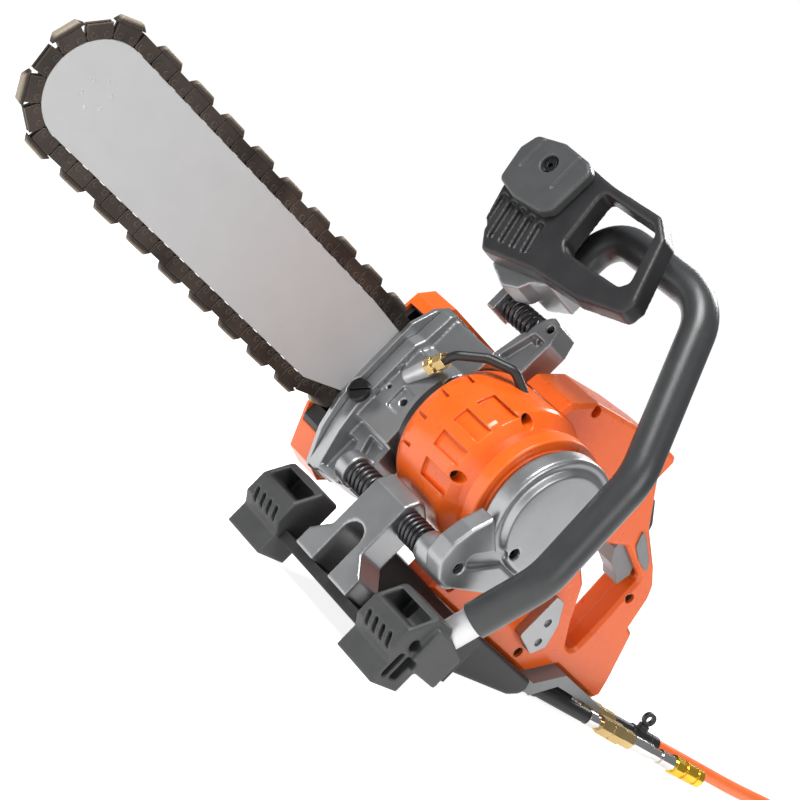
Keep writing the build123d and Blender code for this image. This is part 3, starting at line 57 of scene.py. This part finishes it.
# Every material is node based, and each finish is one dictionary of what a user may change
finishes = {
    "orangeShell": dict(
        color=(0.76, 0.112, 0.006), darker=(0.72, 0.100, 0.005), wear=(1.0, 0.36, 0.12),
        wearAmount=0.5, edge=0.0014, rough=(0.24, 0.32), grain=2600, bump=0.06,
        coat=0.15, metal=0.0),
    "barSteel": dict(
        color=(0.46, 0.46, 0.46), darker=(0.445, 0.445, 0.445), wear=(0.75, 0.75, 0.75),
        wearAmount=0.4, edge=0.0006, rough=(0.50, 0.58), grain=3400, bump=0.22,
        coat=0.0, metal=0.30),
    "chainSteel": dict(
        color=(0.050, 0.036, 0.028), darker=(0.014, 0.010, 0.008), wear=(0.34, 0.28, 0.23),
        wearAmount=0.7, edge=0.0008, rough=(0.34, 0.60), grain=1500, bump=0.55,
        coat=0.0, metal=0.5),
    "segmentMatrix": dict(
        color=(0.150, 0.120, 0.095), darker=(0.050, 0.037, 0.028), wear=(0.62, 0.56, 0.48),
        wearAmount=1.0, edge=0.0022, rough=(0.40, 0.66), grain=1900, bump=0.9,
        coat=0.0, metal=0.35),
    "lightAlloy": dict(
        color=(0.36, 0.365, 0.372), darker=(0.325, 0.33, 0.337), wear=(0.90, 0.90, 0.90),
        wearAmount=0.7, edge=0.0012, rough=(0.26, 0.36), grain=2600, bump=0.20,
        coat=0.0, metal=0.85),
    "blastedAlloy": dict(
        color=(0.62, 0.62, 0.625), darker=(0.57, 0.57, 0.575), wear=(0.9, 0.9, 0.9),
        wearAmount=0.5, edge=0.0009, rough=(0.34, 0.42), grain=3600, bump=0.18,
        coat=0.0, metal=0.8),
    "darkGreyPlastic": dict(
        color=(0.046, 0.047, 0.048), darker=(0.038, 0.039, 0.040), wear=(0.20, 0.20, 0.20),
        wearAmount=0.5, edge=0.0016, rough=(0.38, 0.50), grain=3200, bump=0.34,
        coat=0.0, metal=0.0),
    "blackPlastic": dict(
        color=(0.014, 0.014, 0.015), darker=(0.010, 0.010, 0.011), wear=(0.12, 0.12, 0.125),
        wearAmount=0.5, edge=0.0016, rough=(0.32, 0.44), grain=3200, bump=0.30,
        coat=0.0, metal=0.0),
    "gripRubber": dict(
        color=(0.034, 0.035, 0.036), darker=(0.029, 0.030, 0.031), wear=(0.15, 0.15, 0.155),
        wearAmount=0.2, edge=0.0010, rough=(0.26, 0.34), grain=3400, bump=0.26,
        coat=0.0, metal=0.0),
    "blackRubber": dict(
        color=(0.012, 0.012, 0.012), darker=(0.008, 0.008, 0.008), wear=(0.05, 0.05, 0.05),
        wearAmount=0.3, edge=0.0008, rough=(0.34, 0.48), grain=2600, bump=0.22,
        coat=0.0, metal=0.0),
    "springSteel": dict(
        color=(0.085, 0.085, 0.09), darker=(0.055, 0.055, 0.058), wear=(0.4, 0.4, 0.4),
        wearAmount=0.4, edge=0.0005, rough=(0.22, 0.34), grain=1900, bump=0.12,
        coat=0.0, metal=0.8),
    "brightSteel": dict(
        color=(0.52, 0.52, 0.53), darker=(0.44, 0.44, 0.45), wear=(0.8, 0.8, 0.8),
        wearAmount=0.4, edge=0.0005, rough=(0.20, 0.32), grain=1900, bump=0.10,
        coat=0.0, metal=0.95),
    "screwSteel": dict(
        color=(0.022, 0.022, 0.024), darker=(0.014, 0.014, 0.015), wear=(0.3, 0.3, 0.3),
        wearAmount=0.5, edge=0.0005, rough=(0.26, 0.38), grain=1900, bump=0.12,
        coat=0.0, metal=0.6),
    "copperWinding": dict(
        color=(0.45, 0.17, 0.06), darker=(0.22, 0.08, 0.03), wear=(0.6, 0.3, 0.15),
        wearAmount=0.3, edge=0.0005, rough=(0.3, 0.5), grain=1200, bump=0.3,
        coat=0.2, metal=0.8),
    "brass": dict(
        color=(0.66, 0.48, 0.22), darker=(0.56, 0.40, 0.17), wear=(0.95, 0.85, 0.6),
        wearAmount=0.5, edge=0.0006, rough=(0.20, 0.32), grain=1900, bump=0.10,
        coat=0.0, metal=0.95),
    "yellowBrass": dict(
        color=(0.85, 0.52, 0.05), darker=(0.72, 0.42, 0.03), wear=(1.0, 0.85, 0.4),
        wearAmount=0.5, edge=0.0006, rough=(0.16, 0.26), grain=1900, bump=0.08,
        coat=0.0, metal=0.95),
    "chrome": dict(
        color=(0.72, 0.70, 0.69), darker=(0.64, 0.62, 0.61), wear=(0.9, 0.9, 0.9),
        wearAmount=0.3, edge=0.0005, rough=(0.08, 0.16), grain=1900, bump=0.05,
        coat=0.0, metal=1.0),
    "midGreyPlastic": dict(
        color=(0.20, 0.205, 0.21), darker=(0.18, 0.185, 0.19), wear=(0.35, 0.35, 0.36),
        wearAmount=0.3, edge=0.0008, rough=(0.36, 0.46), grain=2600, bump=0.22,
        coat=0.0, metal=0.0),
    "orangeCable": dict(
        color=(0.84, 0.16, 0.035), darker=(0.78, 0.14, 0.028), wear=(0.9, 0.3, 0.1),
        wearAmount=0.1, edge=0.0005, rough=(0.34, 0.44), grain=2200, bump=0.16,
        coat=0.0, metal=0.0),
}
surface = dict(broadShare=60, broadDetail=5, fineDetail=3, darkAt=0.30, lightAt=0.62, coatRough=0.18,
               bevelSamples=4, rubbedFrom=0.998, rubbedTo=0.90, reliefDepth=0.0003)


def link(tree, fromNode, fromSocket, toNode, toSocket):
    tree.links.new(fromNode.outputs[fromSocket], toNode.inputs[toSocket])


def makeFinish(name, color, darker, rough, grain, bump, edge, wear, wearAmount, coat, metal):
    material = bpy.data.materials.new(name)
    material.use_nodes = True
    tree = material.node_tree
    shader = tree.nodes["Principled BSDF"]
    shader.inputs["Metallic"].default_value = metal
    shader.inputs["Coat Weight"].default_value = coat
    shader.inputs["Coat Roughness"].default_value = surface["coatRough"]
    place = tree.nodes.new("ShaderNodeTexCoord")
    # broad mottling of the colour, then fine grain for the bump and the gloss
    broad = tree.nodes.new("ShaderNodeTexNoise")
    broad.inputs["Scale"].default_value = grain / surface["broadShare"]
    broad.inputs["Detail"].default_value = surface["broadDetail"]
    fine = tree.nodes.new("ShaderNodeTexNoise")
    fine.inputs["Scale"].default_value = grain
    fine.inputs["Detail"].default_value = surface["fineDetail"]
    link(tree, place, "Object", broad, "Vector")
    link(tree, place, "Object", fine, "Vector")
    tones = tree.nodes.new("ShaderNodeValToRGB")
    tones.color_ramp.elements[0].position = surface["darkAt"]
    tones.color_ramp.elements[0].color = (*darker, 1)
    tones.color_ramp.elements[1].position = surface["lightAt"]
    tones.color_ramp.elements[1].color = (*color, 1)
    link(tree, broad, "Fac", tones, "Fac")
    # edges: rounded in the shading, and rubbed where the rounded and the true normal part
    rounded = tree.nodes.new("ShaderNodeBevel")
    rounded.samples = surface["bevelSamples"]
    rounded.inputs["Radius"].default_value = edge
    geometry = tree.nodes.new("ShaderNodeNewGeometry")
    match = tree.nodes.new("ShaderNodeVectorMath")
    match.operation = "DOT_PRODUCT"
    link(tree, rounded, "Normal", match, 0)
    link(tree, geometry, "Normal", match, 1)
    rubbed = tree.nodes.new("ShaderNodeMapRange")
    rubbed.inputs["From Min"].default_value = surface["rubbedFrom"]
    rubbed.inputs["From Max"].default_value = surface["rubbedTo"]
    rubbed.inputs["To Max"].default_value = wearAmount
    link(tree, match, "Value", rubbed, "Value")
    patchy = tree.nodes.new("ShaderNodeMath")
    patchy.operation = "MULTIPLY"
    link(tree, rubbed, "Result", patchy, 0)
    link(tree, broad, "Fac", patchy, 1)
    mix = tree.nodes.new("ShaderNodeMix")
    mix.data_type = "RGBA"
    mix.inputs[7].default_value = (*wear, 1)
    tree.links.new(patchy.outputs[0], mix.inputs[0])
    tree.links.new(tones.outputs["Color"], mix.inputs[6])
    tree.links.new(mix.outputs[2], shader.inputs["Base Color"])
    gloss = tree.nodes.new("ShaderNodeMapRange")
    gloss.inputs["To Min"].default_value = rough[0]
    gloss.inputs["To Max"].default_value = rough[1]
    link(tree, broad, "Fac", gloss, "Value")
    link(tree, gloss, "Result", shader, "Roughness")
    relief = tree.nodes.new("ShaderNodeBump")
    relief.inputs["Strength"].default_value = bump
    relief.inputs["Distance"].default_value = surface["reliefDepth"]
    link(tree, fine, "Fac", relief, "Height")
    link(tree, rounded, "Normal", relief, "Normal")
    link(tree, relief, "Normal", shader, "Normal")
    return material


materials = {name: makeFinish(name, **finish) for name, finish in finishes.items()}
slotOfFinish = {
    "orangeShell": "orange_shell", "barSteel": "bar_steel", "chainSteel": "chain_steel",
    "segmentMatrix": "segment_matrix", "lightAlloy": "light_alloy", "blastedAlloy": "machined_alloy",
    "darkGreyPlastic": "grey_plastic", "blackPlastic": "black_plastic", "gripRubber": "grip_rubber",
    "blackRubber": "black_rubber", "springSteel": "spring_steel", "brightSteel": "bright_steel",
    "screwSteel": "screw_steel", "copperWinding": "copper_winding", "brass": "brass",
    "yellowBrass": "gold_brass", "chrome": "chrome", "midGreyPlastic": "mid_grey_plastic",
    "orangeCable": "orange_cable",
}
finishOfSlot = {slotName: finishName for finishName, slotName in slotOfFinish.items()}
slotOfNode = {part["node"]: part["material_slot"] for part in frame["record"]["subparts"]}
finishOfNode = {nodeName: finishOfSlot[slotName] for nodeName, slotName in slotOfNode.items()}
for nodeName, finishName in finishOfNode.items():
    nodes[nodeName].data.materials.clear()
    nodes[nodeName].data.materials.append(materials[finishName])
print("finishes:", len(materials))

# Camera, at three quarters from the front and rolled so that the bar points up and to the left
view = dict(place=(1.2022, 1.0961, 0.3812), look=(-0.70939, -0.69090, -0.13934), roll=-36.19, lens=103.11)
cameraData = bpy.data.cameras.new("viewCamera")
cameraData.lens = view["lens"]
cameraData.sensor_width = 36
camera = bpy.data.objects.new("viewCamera", cameraData)
bpy.context.scene.collection.objects.link(camera)
camera.location = view["place"]
aim = Vector(view["look"]).to_track_quat("-Z", "Y")
camera.rotation_mode = "QUATERNION"
camera.rotation_quaternion = Quaternion(Vector(view["look"]), radians(view["roll"])) @ aim
bpy.context.scene.camera = camera


def newObject(name, mesh, finish, body):
    piece = bpy.data.objects.new(name, mesh)
    bpy.context.scene.collection.objects.link(piece)
    mesh.materials.clear()
    mesh.materials.append(materials[finish])
    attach(piece, body)
    return piece


# Cast and moulded pieces: a copy of the CAD solid on an even grid in metres, its edges softened in passes
moulded = {
    "hand_guard": dict(grid=0.0010, passes=9),
    "guard_cap": dict(grid=0.0007, passes=5),
    "left_foot": dict(grid=0.0009, passes=9),
    "right_foot": dict(grid=0.0009, passes=9),
    "front_bracket": dict(grid=0.0010, passes=9),
    "gear_casting": dict(grid=0.0008, passes=3),
    "end_cover": dict(grid=0.0008, passes=4),
    "spring_lever": dict(grid=0.0007, passes=5),
    "handle_bracket": dict(grid=0.0009, passes=6),
    "skid": dict(grid=0.0012, passes=6),
}
bodyOfNode = {}
for bodyName, heldNodes in frame["record"]["behaviour"]["bodies"].items():
    for nodeName in heldNodes:
        bodyOfNode[nodeName] = bodyName


def roundedCopy(nodeName, grid, passes):
    mesh = nodes[nodeName].data.copy()
    mesh.name = nodeName + "Moulded"
    piece = newObject(mesh.name, mesh, finishOfNode[nodeName], bodyOfNode[nodeName])
    remesh = piece.modifiers.new("evenSkin", "REMESH")
    remesh.mode = "VOXEL"
    remesh.voxel_size = grid
    remesh.use_smooth_shade = True
    soften = piece.modifiers.new("roundEdges", "SMOOTH")
    soften.factor = 0.5
    soften.iterations = passes
    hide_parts(nodeName)
    return piece


for nodeName, facts in moulded.items():
    roundedCopy(nodeName, **facts)
print("moulded pieces:", len(moulded))

# Diamond segments: rounded lumps, dark beside the links and worn pale towards the tips
segmentLook = dict(rounding=0.0011, sharpFrom=35, paleFrom=1.00, paleTo=1.50, pale=(0.36, 0.30, 0.23),
                   dark=(0.034, 0.024, 0.018), speckle=420, speckleDetail=6, speckleShare=0.9,
                   weld=0.00001)


def outwardOnSaw(point):
    # distance of a chain point from the bar's spine, which runs from the drive axis to the nose
    spine = noseMiddle - shaftMiddle
    spine.y = 0
    reach = point - shaftMiddle
    reach.y = 0
    along = max(0, min(1, reach.dot(spine) / spine.length_squared))
    return (reach - spine * along).length


def makeSegments():
    mesh = nodes["diamond_segments"].data.copy()
    mesh.name = "diamondSegments"
    work = bmesh.new()
    work.from_mesh(mesh)
    bmesh.ops.remove_doubles(work, verts=work.verts, dist=segmentLook["weld"])
    bmesh.ops.dissolve_limit(work, angle_limit=radians(1), verts=work.verts, edges=work.edges)
    tipShare = work.verts.layers.float.new("tipShare")
    left = set(work.verts)
    while left:
        lump, front = set(), [left.pop()]
        while front:
            vertex = front.pop()
            lump.add(vertex)
            for edge in vertex.link_edges:
                other = edge.other_vert(vertex)
                if other in left:
                    left.discard(other)
                    front.append(other)
        heights = {vertex: outwardOnSaw(vertex.co) for vertex in lump}
        low, high = min(heights.values()), max(heights.values())
        for vertex, height in heights.items():
            vertex[tipShare] = (height - low) / (high - low)
    work.to_mesh(mesh)
    work.free()
    piece = newObject("diamondSegments", mesh, "segmentMatrix", "bar")
    bevel = piece.modifiers.new("roundEdges", "BEVEL")
    bevel.width = segmentLook["rounding"]
    bevel.segments = 3
    bevel.limit_method = "ANGLE"
    bevel.angle_limit = radians(segmentLook["sharpFrom"])
    bevel.harden_normals = True
    material = materials["segmentMatrix"]
    tree = material.node_tree
    share = tree.nodes.new("ShaderNodeAttribute")
    share.attribute_name = "tipShare"
    speckle = tree.nodes.new("ShaderNodeTexNoise")
    speckle.inputs["Scale"].default_value = segmentLook["speckle"]
    speckle.inputs["Detail"].default_value = segmentLook["speckleDetail"]
    blend = tree.nodes.new("ShaderNodeMath")
    blend.operation = "MULTIPLY_ADD"
    blend.inputs[1].default_value = segmentLook["speckleShare"]
    link(tree, speckle, "Fac", blend, 0)
    link(tree, share, "Fac", blend, 2)
    worn = tree.nodes.new("ShaderNodeMapRange")
    worn.inputs["From Min"].default_value = segmentLook["paleFrom"]
    worn.inputs["From Max"].default_value = segmentLook["paleTo"]
    link(tree, blend, 0, worn, "Value")
    colour = tree.nodes.new("ShaderNodeMix")
    colour.data_type = "RGBA"
    colour.inputs[6].default_value = (*segmentLook["dark"], 1)
    colour.inputs[7].default_value = (*segmentLook["pale"], 1)
    tree.links.new(worn.outputs[0], colour.inputs[0])
    tree.links.new(colour.outputs[2], tree.nodes["Principled BSDF"].inputs["Base Color"])
    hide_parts("diamond_segments")


makeSegments()
print("diamond segments made")

# Supply cable: the free run in metres, then the turns of its coil and the way into the connector
cable = dict(thickness=0.012, outerTurn=0.0725, turnStep=0.0123, turned=780, lift=0.0062, pointsPerTurn=16,
             plug=Vector((-0.0398, -0.0230, 0.0095)), plugRun=Vector((0, -0.010, -0.0007)), length=1.10)
cableRun = ((-0.38025, 0.03070, 0.0090), (-0.42446, 0.04338, 0.0090), (-0.4786, 0.0510, 0.0068),
            (-0.5326, 0.0555, 0.0062), (-0.5846, 0.0655, 0.0062), (-0.6306, 0.0700, 0.0062),
            (-0.6726, 0.0665, 0.0062))


def coilPoints(centre, facts):
    points = []
    step = 360 / facts["pointsPerTurn"]
    count = int(facts["turned"] / step)
    for i in range(1, count + 1):
        turned = i * step
        radius = facts["outerTurn"] - facts["turnStep"] * turned / 360
        angle = radians(-90 - turned)
        points.append((centre[0] + radius * cos(angle), centre[1] + radius * sin(angle), facts["lift"]))
    return points


def makeCable():
    centre = Vector((cableRun[-1][0], cableRun[-1][1] + cable["outerTurn"], 0))
    plugIn = centre + cable["plug"]
    points = list(cableRun) + coilPoints(centre, cable)[:-1] + [plugIn + cable["plugRun"], plugIn]
    curve = bpy.data.curves.new("supplyCable", "CURVE")
    curve.dimensions = "3D"
    curve.bevel_depth = cable["thickness"] / 2
    curve.bevel_resolution = 6
    curve.resolution_u = 8
    curve.use_fill_caps = True
    spline = curve.splines.new("NURBS")
    spline.points.add(len(points) - 1)
    for point, place in zip(spline.points, points):
        point.co = (*place, 1)
    spline.order_u = 3
    spline.use_endpoint_u = True
    piece = newObject("supplyCable", curve, "orangeCable", "frame")
    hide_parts("supply_cable", "supply_coil")


makeCable()
print("cable made")

# Floor, world and lights; the air lights the saw less than the white backdrop that is seen behind it
bpy.context.scene.view_settings.view_transform = "Standard"
stage = dict(backdrop=(1, 1, 1), backdropGlow=1.0, room=(0.96, 0.98, 1.0), roomGlow=0.27,
             floorSize=30, floorTone=(0.55, 0.55, 0.55), floorRough=0.9, floorGlow=0.86)
world = bpy.data.worlds.new("studio")
bpy.context.scene.world = world
world.use_nodes = True
worldTree = world.node_tree
backdropLight = worldTree.nodes["Background"]
backdropLight.inputs["Color"].default_value = (*stage["backdrop"], 1)
backdropLight.inputs["Strength"].default_value = stage["backdropGlow"]
roomLight = worldTree.nodes.new("ShaderNodeBackground")
roomLight.inputs["Color"].default_value = (*stage["room"], 1)
roomLight.inputs["Strength"].default_value = stage["roomGlow"]
rayKind = worldTree.nodes.new("ShaderNodeLightPath")
backdropMix = worldTree.nodes.new("ShaderNodeMixShader")
link(worldTree, rayKind, "Is Camera Ray", backdropMix, 0)
link(worldTree, roomLight, 0, backdropMix, 1)
link(worldTree, backdropLight, 0, backdropMix, 2)
link(worldTree, backdropMix, 0, worldTree.nodes["World Output"], "Surface")

half = stage["floorSize"]
floorMesh = bpy.data.meshes.new("floor")
floorCorners = [(-half, -half, 0), (half, -half, 0), (half, half, 0), (-half, half, 0)]
floorMesh.from_pydata(floorCorners, [], [(0, 1, 2, 3)])
floor = bpy.data.objects.new("floor", floorMesh)
bpy.context.scene.collection.objects.link(floor)
floorMaterial = bpy.data.materials.new("paleFloor")
floorMaterial.use_nodes = True
floorShader = floorMaterial.node_tree.nodes["Principled BSDF"]
floorShader.inputs["Base Color"].default_value = (*stage["floorTone"], 1)
floorShader.inputs["Roughness"].default_value = stage["floorRough"]
floorShader.inputs["Emission Color"].default_value = (1, 1, 1, 1)
floorShader.inputs["Emission Strength"].default_value = stage["floorGlow"]
floorMesh.materials.append(floorMaterial)

lamps = {
    "key": dict(place=(0.9, -0.1, 1.5), power=34, size=0.7),
    "side": dict(place=(0.2, 1.8, 0.9), power=14, size=0.9),
    "rim": dict(place=(-1.2, -0.6, 1.2), power=18, size=0.6),
}
sawMiddle = Vector((0, 0, 0.18))
for lampName, lamp in lamps.items():
    light = bpy.data.lights.new(lampName, "AREA")
    light.energy = lamp["power"]
    light.size = lamp["size"]
    holder = bpy.data.objects.new(lampName, light)
    bpy.context.scene.collection.objects.link(holder)
    holder.location = lamp["place"]
    holder.rotation_mode = "QUATERNION"
    holder.rotation_quaternion = (sawMiddle - Vector(lamp["place"])).to_track_quat("-Z", "Y")
print("stage and lights made")
